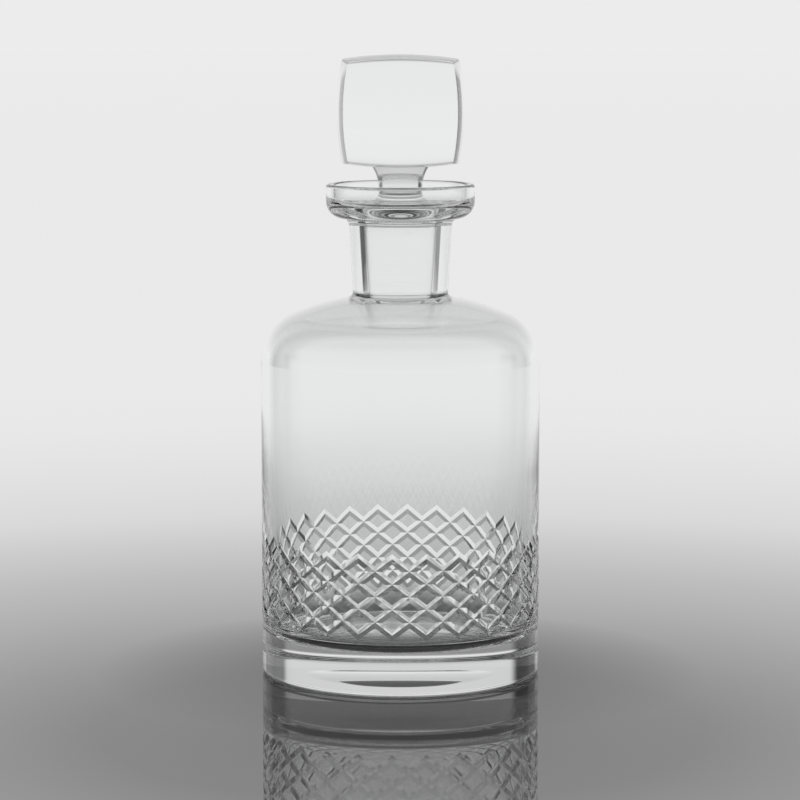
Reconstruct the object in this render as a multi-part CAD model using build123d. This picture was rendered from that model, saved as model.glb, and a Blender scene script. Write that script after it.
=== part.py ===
from build123d import *
from math import cos, pi, radians, sin, sqrt
import os

# A cut-crystal decanter with its ground glass stopper, in millimetres.
# The origin is the middle of the ring that it stands on, and +Z is up along its axis.
# The axis is the turning axis of the vessel. The front of the decanter faces -Y.

# Body of the vessel, outside
body_radius = 54.2
shoulder_start = 122.5
shoulder_round = 19.4
shoulder_turn = 67.5
foot_round = 2.2

# Punty, the hollow polished under the base where the glassmaker's iron came off
punty_radius = 24.0
punty_depth = 1.4

# Body of the vessel, inside
upper_wall = 3.6
lower_wall = 5.5
thin_from = 92.0
thick_from = 46.0
wall_bend = 500.0
base_thickness = 15.0
well_round = 9.0
dome_wall = 3.2
inner_shoulder_drop = 0.3

# Neck and the cup-shaped collar round the mouth
neck_foot_height = 147.0
neck_foot_radius = 18.1
neck_top_height = 177.3
neck_top_radius = 20.2
neck_root_round = 2.0
neck_root_wall = 2.6
collar_radius = 28.8
collar_height = 190.8
collar_wall = 3.2
collar_under_slope = 0.14
collar_corner_round = 6.4
collar_throat_round = 3.0
cup_floor = 183.0
cup_round = 3.0
lip_round = 1.2

# Ground joint between the bore of the neck and the plug of the stopper.
# The plug is ground a little steeper than the bore, so that it seats at the mouth and never wedges.
joint_mouth_radius = 14.5
plug_taper = 1 / 7.3
bore_taper = 1 / 9
joint_clearance = 0.10
plug_length = 35.5
plug_end_round = 1.2
bore_end_round = 0.8

# Stopper above the joint
stopper_seat_gap = 0.4
shank_waist_radius = 8.35
flare_round = 5.0
flare_share_of_seat = 0.9
shank_flare = 8.4
head_above_rim = 6.2
head_height = 43.6
head_width = 49.3
head_depth = 49.3
head_side_radius = 95.0
head_front_radius = 260.0
head_top_radius = 150.0
head_edge_round = 0.9
shank_top_radius = 12.2
shank_overlap = 2.0

# Cut band of diamonds
diamond_columns = 26
diamond_rows = 3
diamond_height = 9.74
band_centre_height = 38.5
cut_half_width = 1.6
cut_depth = 0.7
cut_overrun = 1.2
first_diamond_angle = -3.3

# The head stands clear above the rim of the collar, whatever the collar's height
head_bottom = collar_height + head_above_rim


def plug_radius_at(height):
    """Radius of the ground cone of the stopper."""
    return joint_mouth_radius - (cup_floor - height) * plug_taper / 2


def bore_radius_at(height):
    """Radius of the ground cone in the neck, which is the plug's at the mouth with the clearance round it."""
    return joint_mouth_radius + joint_clearance - (cup_floor - height) * bore_taper / 2


def turned(profile):
    """A solid of revolution about the vessel's axis from a half outline in the XZ plane."""
    return revolve(profile, Axis.Z, 360)


def rounded(outline, corners):
    """The outline with each named corner rounded: corners is a list of (point, radius)."""
    for point, radius in corners:
        nearest = outline.vertices().sort_by_distance((point[0], point[1], 0))[0]
        outline = fillet(nearest, radius)
    return outline


def vessel_outline():
    """Half section of the vessel, from the axis under the base round to the axis in the well."""
    punty_ball = (punty_radius**2 + punty_depth**2) / (2 * punty_depth)
    punty_middle = punty_depth - punty_ball + sqrt(punty_ball**2 - (punty_radius / 2) ** 2)
    punty = ThreePointArc((0, punty_depth), (punty_radius / 2, punty_middle), (punty_radius, 0))
    foot_corner = (body_radius, 0)
    wall = Polyline(punty @ 1, foot_corner, (body_radius, shoulder_start))
    shoulder = JernArc(wall @ 1, (0, 1), shoulder_round, shoulder_turn)
    neck_root = (neck_foot_radius, neck_foot_height)
    dome = TangentArc(shoulder @ 1, neck_root, tangent=shoulder % 1)

    throat = (neck_top_radius, neck_top_height)
    collar_rise = (collar_radius - neck_top_radius) * collar_under_slope
    collar_corner = (collar_radius, neck_top_height + collar_rise)
    outer_lip = (collar_radius, collar_height)
    inner_lip = (collar_radius - collar_wall, collar_height)
    cup_corner = (collar_radius - collar_wall, cup_floor)
    bore_mouth = (bore_radius_at(cup_floor), cup_floor)
    bore_end_height = neck_foot_height - neck_root_wall
    bore_end = (bore_radius_at(bore_end_height), bore_end_height)
    collar = Polyline(neck_root, throat, collar_corner, outer_lip, inner_lip, cup_corner, bore_mouth, bore_end)

    inner_shoulder_radius = shoulder_round - dome_wall
    inner_wall_top = (body_radius - upper_wall, shoulder_start - inner_shoulder_drop)
    inner_shoulder = JernArc(inner_wall_top, (0, 1), inner_shoulder_radius, shoulder_turn)
    inner_dome = TangentArc(inner_shoulder @ 1, bore_end, tangent=inner_shoulder % 1)
    thin = (body_radius - upper_wall, thin_from)
    thick = (body_radius - lower_wall, thick_from)
    well_corner = (body_radius - lower_wall, base_thickness)
    inner_wall = Polyline(inner_wall_top, thin, thick, well_corner, (0, base_thickness), (0, punty_depth))

    edges = [punty, wall, shoulder, dome, collar, inner_shoulder, inner_dome, inner_wall]
    outline = make_face(Curve() + edges)
    corners = [
        (foot_corner, foot_round),
        (neck_root, neck_root_round),
        (throat, collar_throat_round),
        (collar_corner, collar_corner_round),
        (outer_lip, lip_round),
        (inner_lip, lip_round),
        (cup_corner, cup_round),
        (bore_end, bore_end_round),
        (thin, wall_bend),
        (thick, wall_bend),
        (well_corner, well_round),
    ]
    return rounded(outline, corners)


def stopper_outline():
    """Half section of the stopper's ground plug, flare and shank, up into the head."""
    seat_height = cup_floor + stopper_seat_gap
    plug_end_height = cup_floor - plug_length
    plug_end = (plug_radius_at(plug_end_height), plug_end_height)
    seat_edge = (plug_radius_at(seat_height), seat_height)
    waist_foot = (shank_waist_radius, seat_height)
    waist_top = (shank_waist_radius, head_bottom - shank_flare)
    into_head = (shank_top_radius, head_bottom + shank_overlap)
    plug = Polyline((0, plug_end_height), plug_end, seat_edge, waist_foot, waist_top)
    flare = TangentArc(waist_top, into_head, tangent=(0, 1))
    inside_head = Polyline(into_head, (0, head_bottom + shank_overlap), (0, plug_end_height))
    outline = make_face(Curve() + [plug, flare, inside_head])
    foot_flare = min(flare_round, flare_share_of_seat * (seat_edge[0] - shank_waist_radius))
    return rounded(outline, [(plug_end, plug_end_round), (waist_foot, foot_flare)])


def stopper_head():
    """A squared block of crystal whose six faces are each a shallow dome, with its edges softened."""
    middle = Location((0, 0, head_bottom + head_height / 2))
    block = Box(head_width, head_depth, head_height)
    sizes = (
        (Axis.X, head_width, head_side_radius),
        (Axis.Y, head_depth, head_front_radius),
        (Axis.Z, head_height, head_top_radius),
    )
    for axis, size, radius in sizes:
        offset = axis.direction * (radius - size / 2)
        for dome in (Pos(offset) * Sphere(radius), Pos(-offset) * Sphere(radius)):
            block = block & dome
    return middle * fillet(block.edges(), head_edge_round)


def cut_section(step, hand, column):
    """The V of one cut where it crosses one lattice node: the valley point and the two points outside."""
    pitch = 2 * pi * body_radius / diamond_columns
    across = pitch / 2
    down = diamond_height / 2
    slope = sqrt(across**2 + down**2)
    turn = radians(first_diamond_angle - 90) + 2 * pi * (column + hand * step / 2) / diamond_columns
    height = band_centre_height + diamond_rows * diamond_height / 2 - step * down
    reach = cut_overrun + cut_depth
    spread = cut_half_width * reach / cut_depth
    at_end = step in (0, 2 * diamond_rows)
    lean = (0, slope / across) if at_end else (hand * down / slope, across / slope)
    points = []
    for radius, side in ((body_radius - cut_depth, 0), (body_radius - cut_depth + reach, 1),
                         (body_radius - cut_depth + reach, -1)):
        angle = turn + side * spread * lean[0] / body_radius
        points.append((radius * cos(angle), radius * sin(angle), height + side * spread * lean[1]))
    return points


def diamond_cut(hand, column):
    """The solid that one wheel cut takes away, from the top of the band to its bottom."""
    sections = [cut_section(step, hand, column) for step in range(2 * diamond_rows + 1)]
    sides = []
    for near, far in zip(sections, sections[1:]):
        for a, b in ((0, 1), (1, 2), (2, 0)):
            sides.append(Face(Wire.make_polygon([near[a], far[a], far[b]])))
            sides.append(Face(Wire.make_polygon([near[a], far[b], near[b]])))
    ends = [Face(Wire.make_polygon(sections[0])), Face(Wire.make_polygon(sections[-1]))]
    return Solid(Shell(sides + ends))


def make_vessel():
    """The vessel with its band of diamonds, which right-hand and left-hand cuts leave standing."""
    cuts = [diamond_cut(hand, column) for hand in (1, -1) for column in range(diamond_columns)]
    return turned(Plane.XZ * vessel_outline()).cut(*cuts)


def make_stopper():
    """The stopper, one solid piece of crystal from the end of its plug to the top of its head."""
    return turned(Plane.XZ * stopper_outline()) + stopper_head()


os.makedirs("parts", exist_ok=True)
export_step(make_vessel(), "parts/vessel.step")
export_step(make_stopper(), "parts/stopper.step")
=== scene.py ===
"""A cut-crystal decanter with its ground glass stopper, on a pale glossy table."""
import math

import bmesh
import bpy
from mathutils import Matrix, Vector


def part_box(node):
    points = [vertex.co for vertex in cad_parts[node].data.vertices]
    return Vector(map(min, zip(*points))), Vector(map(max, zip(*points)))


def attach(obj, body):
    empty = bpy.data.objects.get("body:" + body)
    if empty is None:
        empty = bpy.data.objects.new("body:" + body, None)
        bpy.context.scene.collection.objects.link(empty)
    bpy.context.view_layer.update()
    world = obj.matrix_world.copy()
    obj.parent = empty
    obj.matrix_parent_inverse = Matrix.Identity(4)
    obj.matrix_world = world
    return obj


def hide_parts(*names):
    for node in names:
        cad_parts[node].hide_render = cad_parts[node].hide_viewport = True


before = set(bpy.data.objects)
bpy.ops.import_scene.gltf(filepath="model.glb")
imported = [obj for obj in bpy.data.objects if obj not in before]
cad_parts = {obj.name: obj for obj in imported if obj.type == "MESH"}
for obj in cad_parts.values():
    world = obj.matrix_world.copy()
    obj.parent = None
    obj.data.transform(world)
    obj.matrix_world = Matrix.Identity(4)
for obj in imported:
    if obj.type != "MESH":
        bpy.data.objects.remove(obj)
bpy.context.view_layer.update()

MM = 0.001

# Body of the vessel, outside, in millimetres
vessel_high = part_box("vessel")[1]
stopper_low, stopper_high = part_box("stopper")
body_radius = vessel_high.x / MM
shoulder_start = 122.5
shoulder_round = 19.4
shoulder_turn = 67.5
foot_round = 2.2
punty_radius = 24.0
punty_depth = 1.4

# Body of the vessel, inside
upper_wall = 3.6
lower_wall = 5.5
thin_from = 92.0
thick_from = 46.0
wall_bend = 500.0
base_thickness = 15.0
well_round = 9.0
dome_wall = 3.2
inner_shoulder_drop = 0.3

# Neck and cupped collar
neck_foot = (18.1, 147.0)
neck_top = (20.2, 177.3)
neck_root_round = 2.0
neck_root_wall = 2.6
collar_radius = 28.8
rim_height = vessel_high.z / MM
collar_wall = 3.2
collar_under_slope = 0.14
collar_corner_round = 6.4
throat_round = 3.0
cup_floor = 183.0
cup_round = 3.0
lip_round = 1.2

# Ground joint
joint_mouth_radius = 14.5
plug_taper = 1 / 7.3
bore_taper = 1 / 9
joint_clearance = 0.10
plug_end = stopper_low.z / MM
plug_end_round = 1.2
bore_end = neck_foot[1] - neck_root_wall
bore_end_round = 0.8
mouth_round = 0.35

# Stopper above the joint
seat_gap = 0.4
seat_height = cup_floor + seat_gap
seat_edge_round = 0.3
polished_under_seat = 0.35
waist_radius = 8.35
waist_top = 188.6
flare_round = 5.0
head_top = stopper_high.z / MM
head_bottom = 197.0
head_half = 24.65
head_face_radii = (95.0, 260.0, 150.0)
head_edge_round = 0.9
sharpest_corner = 0.05
shank_top_radius = 12.2

# Cut band of diamonds
diamond_columns = 26
diamond_rows = 3
diamond_height = 9.74
band_middle = 38.5
cut_half_width = 1.6
cut_depth = 0.7
first_diamond = math.radians(-3.3 - 90)
band_margin = 3.6
cut_steps = 5
around = diamond_columns * 2 * cut_steps

# How finely the meshes are made, in metres and radians
same_point = 1e-7
weld = 2e-6
sharp_angle = math.radians(12)
dome_passes = 4
foot_steps = 10
edge_steps = 6
side_steps = 24
top_steps = 16

POLISHED, CUT, GROUND = 0, 1, 2

# The studio, in metres and radians
TABLE_GAP = 0.0001
table_radius = 14.0
camera_distance = 1.2344
camera_height = 0.26307
camera_tilt = math.radians(7.226)
camera_shift = -0.0005
sensor_width = 36.0
focal_length = 143.6715

# The dark card on each side of the decanter, as (angle of its middle, light left, width of its soft edge)
cards = [(math.radians(-60), 0.04, math.radians(9)), (math.radians(60), 0.30, math.radians(6))]
card_half_width = math.radians(11)
# Distances from the middle of the table, in metres, at which the painted shadow of the side cards on it
# begins and is full
painted_card_shadow_near = 1.05
painted_card_shadow_far = 1.3

# Painted brightness of the table's glow by distance from the middle of its painted dark patch of shade and
# reflection, and of the light by its rise's sine
painted_shade_centre = (0.0, -0.10, 0.0)
painted_shade_spread = 0.5
painted_table_shade = [(0.0, 0.03), (0.11, 0.10), (0.16, 0.18), (0.20, 0.24), (0.26, 0.33), (0.32, 0.41), (0.40, 0.54),
        (0.48, 0.68), (0.58, 0.75), (0.69, 0.81), (0.82, 0.86), (1.0, 0.89), (1.4, 0.89), (3.0, 0.87),
        (9.0, 0.84)]
sky = [(-1.0, 0.84), (0.01, 0.84), (0.05, 0.81), (0.12, 0.75), (0.21, 0.67), (0.36, 0.60),
       (0.57, 0.48), (0.77, 0.34), (1.0, 0.3)]


def plug_radius(height):
    """Radius of the stopper's ground cone at a height."""
    return joint_mouth_radius - (cup_floor - height) * plug_taper / 2


def bore_radius(height):
    """Radius of the cone in the neck at a height."""
    return joint_mouth_radius + joint_clearance - (cup_floor - height) * bore_taper / 2


class Outline:
    """Half section of a turned shape, walked from point to point as (radius, height) in millimetres."""

    def __init__(self, radius, height, heading):
        self.points = [(radius, height)]
        self.heading = math.radians(heading)

    def line(self, radius, height, pitch=3.0):
        """A straight stretch, with points spaced along it so that shading stays true beside a bend."""
        r, z = self.points[-1]
        length = math.hypot(radius - r, height - z)
        steps = max(1, math.ceil(length / pitch))
        beside = 0.06 / steps
        shares = [beside, *[i / steps for i in range(1, steps)], 1 - beside, 1]
        for share in shares:
            self.points.append((r + (radius - r) * share, z + (height - z) * share))
        self.heading = math.atan2(height - z, radius - r)
        return self

    def bend(self, radius, turn, step=4.0):
        """An arc that carries on from the heading. A positive turn, in degrees, is to the left."""
        r, z = self.points[-1]
        side = math.copysign(1, turn)
        centre = (r - side * radius * math.sin(self.heading), z + side * radius * math.cos(self.heading))
        steps = max(2, math.ceil(abs(turn) / step))
        start = self.heading
        for i in range(1, steps + 1):
            self.heading = start + math.radians(turn) * i / steps
            self.points.append((centre[0] + side * radius * math.sin(self.heading),
                                centre[1] - side * radius * math.cos(self.heading)))
        return self

    def sweep(self, radius, height, step=2.0):
        """An arc that carries on from the heading and ends at a point."""
        r, z = self.points[-1]
        chord = math.hypot(radius - r, height - z)
        off = math.remainder(math.atan2(height - z, radius - r) - self.heading, math.tau)
        return self.bend(chord / (2 * abs(math.sin(off))), math.degrees(2 * off), step)

    def run(self, *corners):
        """Straight stretches whose corners are (radius, height, rounding). The last has no rounding."""
        for (r, z, rounding), after in zip(corners, corners[1:]):
            r0, z0 = self.points[-1]
            coming = math.atan2(z - z0, r - r0)
            turn = math.remainder(math.atan2(after[1] - z, after[0] - r) - coming, math.tau)
            cut = rounding * math.tan(abs(turn) / 2)
            self.line(r - cut * math.cos(coming), z - cut * math.sin(coming))
            if rounding:
                self.bend(rounding, math.degrees(turn), min(6.0, abs(math.degrees(turn)) / 4))
        return self.line(*corners[-1][:2])


def vessel_foot():
    """Outside of the vessel, from the middle of the punty up to the lower ring of the cut band."""
    ball = (punty_radius**2 + punty_depth**2) / (2 * punty_depth)
    outline = Outline(0, punty_depth, 0)
    outline.bend(ball, -math.degrees(math.asin(punty_radius / ball)), step=0.7)
    outline.run((body_radius, 0, foot_round), (body_radius, band_ring(-1)))
    return outline.points


def vessel_top():
    """Outside of the vessel, from the upper ring of the cut band over shoulder, neck and lip to the mouth."""
    outline = Outline(body_radius, band_ring(1), 90)
    outline.line(body_radius, shoulder_start).bend(shoulder_round, shoulder_turn, step=3.5)
    outline.sweep(neck_foot[0] + neck_root_round, neck_foot[1])
    neck_heading = math.degrees(math.atan2(neck_top[1] - neck_foot[1], neck_top[0] - neck_foot[0]))
    outline.bend(neck_root_round, neck_heading - math.degrees(outline.heading) % 360, step=8.0)
    inside = collar_radius - collar_wall
    collar_foot = neck_top[1] + (collar_radius - neck_top[0]) * collar_under_slope
    outline.run((*neck_top, throat_round), (collar_radius, collar_foot, collar_corner_round),
                (collar_radius, rim_height, lip_round), (inside, rim_height, lip_round),
                (inside, cup_floor, cup_round),
                (bore_radius(cup_floor), cup_floor, mouth_round),
                vessel_inside()[-1])
    return outline.points


def vessel_inside():
    """Inside of the vessel, from the middle of the well up to the lower end of the bore."""
    outline = Outline(0, base_thickness, 0)
    lower = body_radius - lower_wall
    upper = body_radius - upper_wall
    outline.run((lower, base_thickness, well_round), (lower, thick_from, wall_bend),
                (upper, thin_from, wall_bend), (upper, shoulder_start - inner_shoulder_drop))
    outline.bend(shoulder_round - dome_wall, shoulder_turn, step=3.5)
    end = bore_radius(bore_end)
    outline.sweep(end + bore_end_round, bore_end)
    up = 90 - math.degrees(math.atan(bore_taper / 2))
    outline.bend(bore_end_round, up - math.degrees(outline.heading) % 360, step=12.0)
    return outline.points


def band_ring(side):
    """Height of the plain ring of wall just above (1) or below (-1) the cut band."""
    return band_middle + side * (diamond_rows * diamond_height / 2 + band_margin)


class Skin:
    """Gathers the faces of one closed surface, then makes them into an object."""

    def __init__(self, name):
        self.name = name
        self.mesh = bmesh.new()

    def face(self, points, finish):
        """One face, without the corners that fall together, or none if too few are left."""
        corners = []
        for point in points:
            if not any((point - other).length < same_point for other in corners):
                corners.append(point)
        if len(corners) > 2:
            made = self.mesh.faces.new([self.mesh.verts.new(corner) for corner in corners])
            made.material_index = finish
            made.smooth = True

    def quilt(self, rows, finish=POLISHED):
        """Faces between neighbouring rows of points."""
        for low, high in zip(rows, rows[1:]):
            for i in range(len(low) - 1):
                self.face([low[i], low[i + 1], high[i + 1], high[i]], finish)

    def turn(self, points):
        """Turns a half section round the axis."""
        angles = [first_diamond + math.tau * i / around for i in range(around + 1)]
        self.quilt([[on_wall(r, angle, z) for angle in angles] for r, z in points])

    def make(self, materials):
        """Welds the faces into one surface and makes the object, with a slot for each material."""
        bmesh.ops.remove_doubles(self.mesh, verts=self.mesh.verts, dist=weld)
        bmesh.ops.recalc_face_normals(self.mesh, faces=self.mesh.faces)
        data = bpy.data.meshes.new(self.name)
        self.mesh.to_mesh(data)
        self.mesh.free()
        data.set_sharp_from_angle(angle=sharp_angle)
        for material in materials:
            data.materials.append(material)
        made = bpy.data.objects.new(self.name, data)
        bpy.context.scene.collection.objects.link(made)
        return made


def on_wall(radius, angle, height):
    """A point in metres from a radius and height in millimetres and an angle about the axis."""
    return Vector((radius * math.cos(angle), radius * math.sin(angle), height)) * MM


def lattice(half_column, half_row, depth=0.0, aside=0.0, above=0.0):
    """A point of the diamond lattice, on the wall or depth under it, moved aside or above along the wall."""
    angle = first_diamond + math.pi * half_column / diamond_columns + aside / body_radius
    height = band_middle + (diamond_rows - half_row) * diamond_height / 2 + above
    return (body_radius - depth, angle, height)


def strides(a, b):
    """Lattice points at even steps from one lattice point to another."""
    return [[p + (q - p) * i / cut_steps for p, q in zip(a, b)] for i in range(cut_steps + 1)]


def between(a, b):
    """The same steps as points in metres."""
    return [on_wall(*point) for point in strides(a, b)]


def cut_diamond(skin, column, row):
    """One diamond: a flat land and the four facets that the wheel left round it."""
    half_pitch = math.pi * body_radius / diamond_columns
    slope = math.atan2(diamond_height / 2, half_pitch)
    aside = cut_half_width / math.sin(slope)
    above = cut_half_width / math.cos(slope)
    valley = [lattice(column, row - 1, cut_depth), lattice(column + 1, row, cut_depth),
              lattice(column, row + 1, cut_depth), lattice(column - 1, row, cut_depth)]
    land = [lattice(column, row - 1, above=-above), lattice(column + 1, row, aside=-aside),
            lattice(column, row + 1, above=above), lattice(column - 1, row, aside=aside)]
    for i in range(4):
        j = (i + 1) % 4
        skin.quilt([between(valley[i], valley[j]), between(land[i], land[j])], CUT)
    skin.quilt([between(a, b) for a, b in zip(strides(land[0], land[3]), strides(land[1], land[2]))])


def cut_border(skin, side):
    """The zigzag edge of the band on one side (1 above, -1 below) and the plain wall up to its ring."""
    half_pitch = math.pi * body_radius / diamond_columns
    above = side * cut_half_width / math.cos(math.atan2(diamond_height / 2, half_pitch))
    outer_row = 0 if side > 0 else 2 * diamond_rows
    inner_row = outer_row + side
    ring = band_ring(side)
    for column in range(0, 2 * diamond_columns, 2):
        for hand in (1, -1):
            peak = lattice(column, outer_row, cut_depth)
            root = lattice(column + hand, inner_row, cut_depth)
            peak_edge = lattice(column, outer_row, above=above)
            root_edge = lattice(column + hand, inner_row, above=above)
            edge = between(peak_edge, root_edge)
            skin.quilt([between(peak, root), edge], CUT)
            skin.quilt([edge, between((*peak_edge[:2], ring), (*root_edge[:2], ring))])


def make_vessel(finishes):
    """The vessel: foot, cut band, shoulder, neck and collar outside, and the well and bore inside."""
    skin = Skin("vessel_crystal")
    skin.turn(vessel_foot())
    for row in range(1, 2 * diamond_rows):
        for column in range(2 * diamond_columns):
            if (column + row) % 2:
                cut_diamond(skin, column, row)
    cut_border(skin, 1)
    cut_border(skin, -1)
    skin.turn(vessel_top())
    skin.turn(vessel_inside())
    return skin.make(finishes)


def square_ring(half, rounding):
    """Points round a square of that half width with rounded corners, in the XY plane."""
    points = []
    for quarter in range(4):
        turn = math.pi / 2 * quarter
        flat = half - rounding
        local = [(half, -flat + 2 * flat * i / side_steps) for i in range(side_steps)]
        for i in range(edge_steps):
            angle = math.pi / 2 * i / edge_steps
            local.append((flat + rounding * math.cos(angle), flat + rounding * math.sin(angle)))
        points += [(x * math.cos(turn) - y * math.sin(turn), x * math.sin(turn) + y * math.cos(turn))
                   for x, y in local]
    return points


def closed(ring):
    """A ring of points with its first point repeated at its end."""
    return ring + ring[:1]


def first_above(points, height):
    """Place in a half section of its first point above a height."""
    return next(i for i, (r, z) in enumerate(points) if z > height)


def stopper_turned():
    """Half section of the plug, seat and shank of the stopper."""
    outline = Outline(0, plug_end, 0)
    outline.run((plug_radius(plug_end), plug_end, plug_end_round),
                (plug_radius(seat_height), seat_height, seat_edge_round),
                (waist_radius, seat_height, flare_round), (waist_radius, waist_top))
    middle = (head_bottom + head_top) / 2
    joined = domed(Vector((shank_top_radius, 0, head_bottom - middle)))
    outline.sweep(joined.x, joined.z + middle, step=4.0)
    return outline.points


def domed(point):
    """A point of the head's plain block, in millimetres from its middle, moved onto the domed faces."""
    half = Vector((head_half, head_half, (head_top - head_bottom) / 2))
    moved = point
    for _ in range(dome_passes):
        aside = [moved.length_squared - moved[i] ** 2 for i in range(3)]
        moved = Vector([point[i] * (1 - aside[i] / (2 * head_face_radii[i] * half[i])) for i in range(3)])
    return moved


def head_levels(angles):
    """The head's plain block as (height from its middle, ring of points), from the shank up to its top."""
    half_height = (head_top - head_bottom) / 2
    edge = head_edge_round
    round_foot = [(shank_top_radius * math.cos(a), shank_top_radius * math.sin(a)) for a in angles]
    square = closed(square_ring(head_half - edge, sharpest_corner))
    levels = []
    for i in range(foot_steps + 1):
        share = i / foot_steps
        ring = [(x + (to_x - x) * share, y + (to_y - y) * share)
                for (x, y), (to_x, to_y) in zip(round_foot, square)]
        levels.append((-half_height, ring))
    for i in range(1, edge_steps + 1):
        out, up = edge * math.sin(math.pi / 2 * i / edge_steps), edge * math.cos(math.pi / 2 * i / edge_steps)
        ring = closed(square_ring(head_half - edge + out, max(sharpest_corner, out)))
        levels.append((-half_height + edge - up, ring))
    side = levels[-1][1]
    for i in range(1, side_steps + 1):
        levels.append(((half_height - edge) * (2 * i / side_steps - 1), side))
    for i in range(1, edge_steps + 1):
        out, up = edge * math.cos(math.pi / 2 * i / edge_steps), edge * math.sin(math.pi / 2 * i / edge_steps)
        ring = closed(square_ring(head_half - edge + out, max(sharpest_corner, out)))
        levels.append((half_height - edge + up, ring))
    top = levels[-1][1]
    for i in range(1, top_steps + 1):
        share = 1 - i / top_steps
        levels.append((half_height, [(x * share, y * share) for x, y in top]))
    return levels


def make_stopper(finishes):
    """The stopper: its plug, seat and shank turned, and the domed square head built on from the shank."""
    skin = Skin("stopper_crystal")
    angles = [math.atan2(y, x) for x, y in square_ring(head_half, head_edge_round)]
    angles.append(angles[0] + math.tau)
    turned = stopper_turned()
    rows = [[on_wall(r, angle, z) for angle in angles] for r, z in turned]
    ground_foot = first_above(turned, plug_end + plug_end_round)
    ground_top = first_above(turned, seat_height - polished_under_seat)
    skin.quilt(rows[:ground_foot + 1])
    skin.quilt(rows[ground_foot:ground_top + 1], GROUND)
    skin.quilt(rows[ground_top:])
    lift = Vector((0, 0, (head_bottom + head_top) / 2))
    head = [[(domed(Vector((x, y, z))) + lift) * MM for x, y in ring] for z, ring in head_levels(angles)]
    skin.quilt([rows[-1], *head[1:]])
    return skin.make(finishes)


def set_stops(elements, stops):
    """Gives a colour ramp its stops, which are (place, grey) pairs from the lowest place to the highest."""
    elements.remove(elements[-1])
    elements[0].position = stops[0][0]
    for place, grey in stops[1:]:
        elements.new(place)
    for element, (place, grey) in zip(elements, stops):
        element.color = (grey, grey, grey, 1)


class Flow:
    """A value in a material's nodes. Arithmetic on it adds the nodes that work the answer out."""

    def __init__(self, tree, socket=None):
        self.tree = tree
        self.socket = socket

    def node(self, kind, settings=None, sockets=None, output=0):
        """Adds a node, sets its settings, then gives its sockets values or other flows."""
        made = self.tree.nodes.new("ShaderNode" + kind)
        for name, value in (settings or {}).items():
            if name == "stops":
                set_stops(made.color_ramp.elements, value)
            else:
                setattr(made, name, value)
        for name, value in (sockets or {}).items():
            if isinstance(value, Flow):
                self.tree.links.new(value.socket, made.inputs[name])
            else:
                made.inputs[name].default_value = value
        return Flow(self.tree, made.outputs[output] if made.outputs else None)

    def part(self, axis):
        """One axis of a vector."""
        return self.node("SeparateXYZ", None, {"Vector": self}, axis)

    def math(self, operation, first, second=0.0):
        """Adds a Math node."""
        return self.node("Math", {"operation": operation}, {0: first, 1: second})

    def __add__(self, other):
        return self.math("ADD", self, other)

    def __sub__(self, other):
        return self.math("SUBTRACT", self, other)

    def __rsub__(self, other):
        return self.math("SUBTRACT", other, self)

    def __mul__(self, other):
        return self.math("MULTIPLY", self, other)

    def __truediv__(self, other):
        return self.math("DIVIDE", self, other)

    def __rtruediv__(self, other):
        return self.math("DIVIDE", other, self)

    def __abs__(self):
        return self.math("ABSOLUTE", self)

    __radd__ = __add__
    __rmul__ = __mul__


def crystal(name, tint, rough, bump, depth):
    """Clear lead-free crystal. rough and bump are functions that take a Flow and give one."""
    made = bpy.data.materials.new(name)
    made.use_nodes = True
    tree = made.node_tree
    tree.nodes.clear()
    start = Flow(tree)
    place = start.node("TexCoord", output="Object")
    surface = start.node("Bump", None, {"Strength": 1.0, "Distance": depth, "Height": bump(place)})
    shader = start.node("BsdfPrincipled", None, {
        "Base Color": tint, "Transmission Weight": 1.0, "IOR": 1.53,
        "Roughness": rough(place), "Normal": surface})
    start.node("OutputMaterial", None, {"Surface": shader})
    return made


def polished_crystal():
    def rough(place):
        smears = place.node("TexNoise", None, {"Vector": place, "Scale": 60.0, "Detail": 3.0})
        return smears * 0.01

    def bump(place):
        long = place.node("Mapping", None, {"Vector": place, "Scale": (18.0, 18.0, 60.0)})
        return place.node("TexNoise", None, {"Vector": long, "Scale": 1.0, "Detail": 1.0})

    return crystal("polished crystal", (0.985, 0.99, 0.99, 1), rough, bump, 0.00004)


def cut_crystal():
    def rough(place):
        lines = place.node("TexNoise", None, {"Vector": place, "Scale": 900.0, "Detail": 2.0})
        return lines * 0.05 + 0.05

    def bump(place):
        return place.node("TexNoise", None, {"Vector": place, "Scale": 700.0, "Detail": 2.0})

    return crystal("wheel-cut crystal", (0.985, 0.99, 0.99, 1), rough, bump, 0.000002)


def ground_crystal():
    def rough(place):
        grain = place.node("TexNoise", None, {"Vector": place, "Scale": 2500.0, "Detail": 2.0})
        return grain * 0.06 + 0.02

    def bump(place):
        rings = place.node("Mapping", None, {"Vector": place, "Scale": (30.0, 30.0, 2400.0)})
        return place.node("TexNoise", None, {"Vector": rings, "Scale": 1.0, "Detail": 2.0})

    return crystal("ground crystal", (0.97, 0.975, 0.975, 1), rough, bump, 0.00002)


def card_shade(start, direction):
    """How much of the light is left in a direction from the decanter, between the two dark side cards."""
    side = start.math("ARCTAN2", direction.part("X"), direction.part("Y"))
    shade = 1.0
    for middle, darkest, blur in cards:
        shade = shade * start.node("MapRange", {"interpolation_type": "SMOOTHERSTEP"}, {
            "Value": abs(side - middle), "From Min": card_half_width, "From Max": card_half_width + blur,
            "To Min": darkest, "To Max": 1.0})
    return shade


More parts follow.
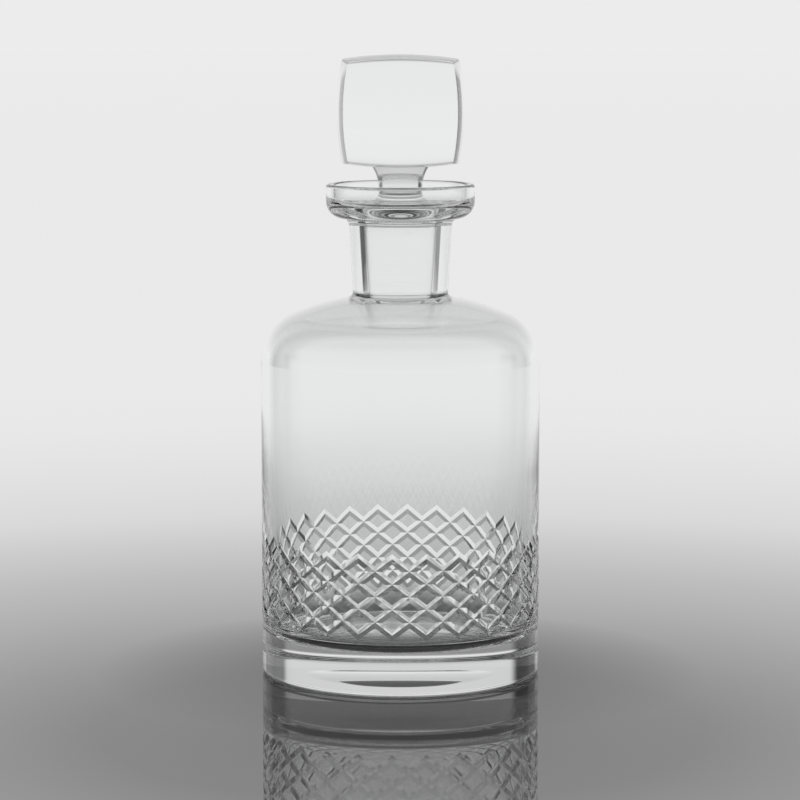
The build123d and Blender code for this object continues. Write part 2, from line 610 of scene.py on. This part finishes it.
def make_table():
    """A pale glossy table, wide enough that its far edge lies on the horizon. Its brightness is a painted
    glow, with painted shade and shadows.
    """
    bpy.ops.mesh.primitive_circle_add(
        vertices=128, radius=table_radius, fill_type="NGON", location=(0, 0, -TABLE_GAP))
    table = bpy.context.object
    table.name = "table"
    made = bpy.data.materials.new("table_painted_glow")
    made.use_nodes = True
    tree = made.node_tree
    tree.nodes.clear()
    start = Flow(tree)
    place = start.node("TexCoord", output="Object")
    haze = start.node("TexNoise", None, {"Vector": place, "Scale": 6.0, "Detail": 2.0})
    # Painted shade: the glow darkens towards the decanter, standing in for its shadow and its dark reflection
    # on the table
    off = start.node("VectorMath", {"operation": "DISTANCE"}, {0: place, 1: painted_shade_centre}, "Value")
    stops = [(distance / (distance + painted_shade_spread), grey) for distance, grey in painted_table_shade]
    shade = start.node("ValToRGB", {"stops": stops}, {"Fac": off / (off + painted_shade_spread)})
    out = start.node("VectorMath", {"operation": "LENGTH"}, {0: place}, "Value")
    # Painted shadow of the side cards: far out on the table the glow is dimmed in the directions where the
    # cards dim the light
    painted_card_shadow_reach = start.node("MapRange", None, {"Value": out, "From Min": painted_card_shadow_near, "From Max": painted_card_shadow_far})
    # Painted contact shadow: the glow is dimmed to 0.15 within 55 mm of the axis and comes back to full by
    # 120 mm
    painted_contact_shadow = start.node("MapRange", None, {"Value": out, "From Min": 0.055, "From Max": 0.12,
                                           "To Min": 0.15, "To Max": 1.0})
    painted_glow_strength = painted_contact_shadow * (1 - painted_card_shadow_reach * (1 - card_shade(start, place)))
    # The table glows, so its brightness is painted light rather than light from the studio
    glow = start.node("Emission", None, {"Color": shade, "Strength": painted_glow_strength})
    mirror = start.node("BsdfGlossy", None, {"Color": (1, 1, 1, 1), "Roughness": haze * 0.01})
    sheen = start.node("Fresnel", None, {"IOR": 1.42})
    shader = start.node("MixShader", None, {0: sheen, 1: glow, 2: mirror})
    start.node("OutputMaterial", None, {"Surface": shader})
    table.data.materials.append(made)


def make_light():
    """Soft light from all round, with a dark card to each side that draws the edges of the glass."""
    world = bpy.data.worlds.new("studio")
    bpy.context.scene.world = world
    world.use_nodes = True
    tree = world.node_tree
    tree.nodes.clear()
    start = Flow(tree)
    direction = start.node("TexCoord", output="Generated")
    stops = [((sine + 1) / 2, grey) for sine, grey in sky]
    glow = start.node("ValToRGB", {"stops": stops}, {"Fac": (direction.part("Z") + 1) / 2})
    back = start.node("Background", None, {"Color": glow, "Strength": card_shade(start, direction)})
    start.node("OutputWorld", None, {"Surface": back})


def make_camera():
    """A camera in front of the decanter and a little above it, looking slightly down."""
    data = bpy.data.cameras.new("camera")
    data.sensor_width = sensor_width
    data.lens = focal_length
    data.shift_x = camera_shift
    camera = bpy.data.objects.new("camera", data)
    bpy.context.scene.collection.objects.link(camera)
    camera.location = (0, -camera_distance, camera_height)
    camera.rotation_euler = (math.pi / 2 - camera_tilt, 0, 0)
    bpy.context.scene.camera = camera


finishes = [polished_crystal(), cut_crystal(), ground_crystal()]
vessel = make_vessel(finishes)
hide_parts("vessel")
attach(vessel, "decanter")

stopper = make_stopper(finishes)
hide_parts("stopper")
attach(stopper, "stopper")

make_table()
make_light()
make_camera()

scene = bpy.context.scene
scene.view_settings.view_transform = "Standard"
scene.cycles.max_bounces = 32
scene.cycles.transmission_bounces = 32
scene.cycles.glossy_bounces = 12
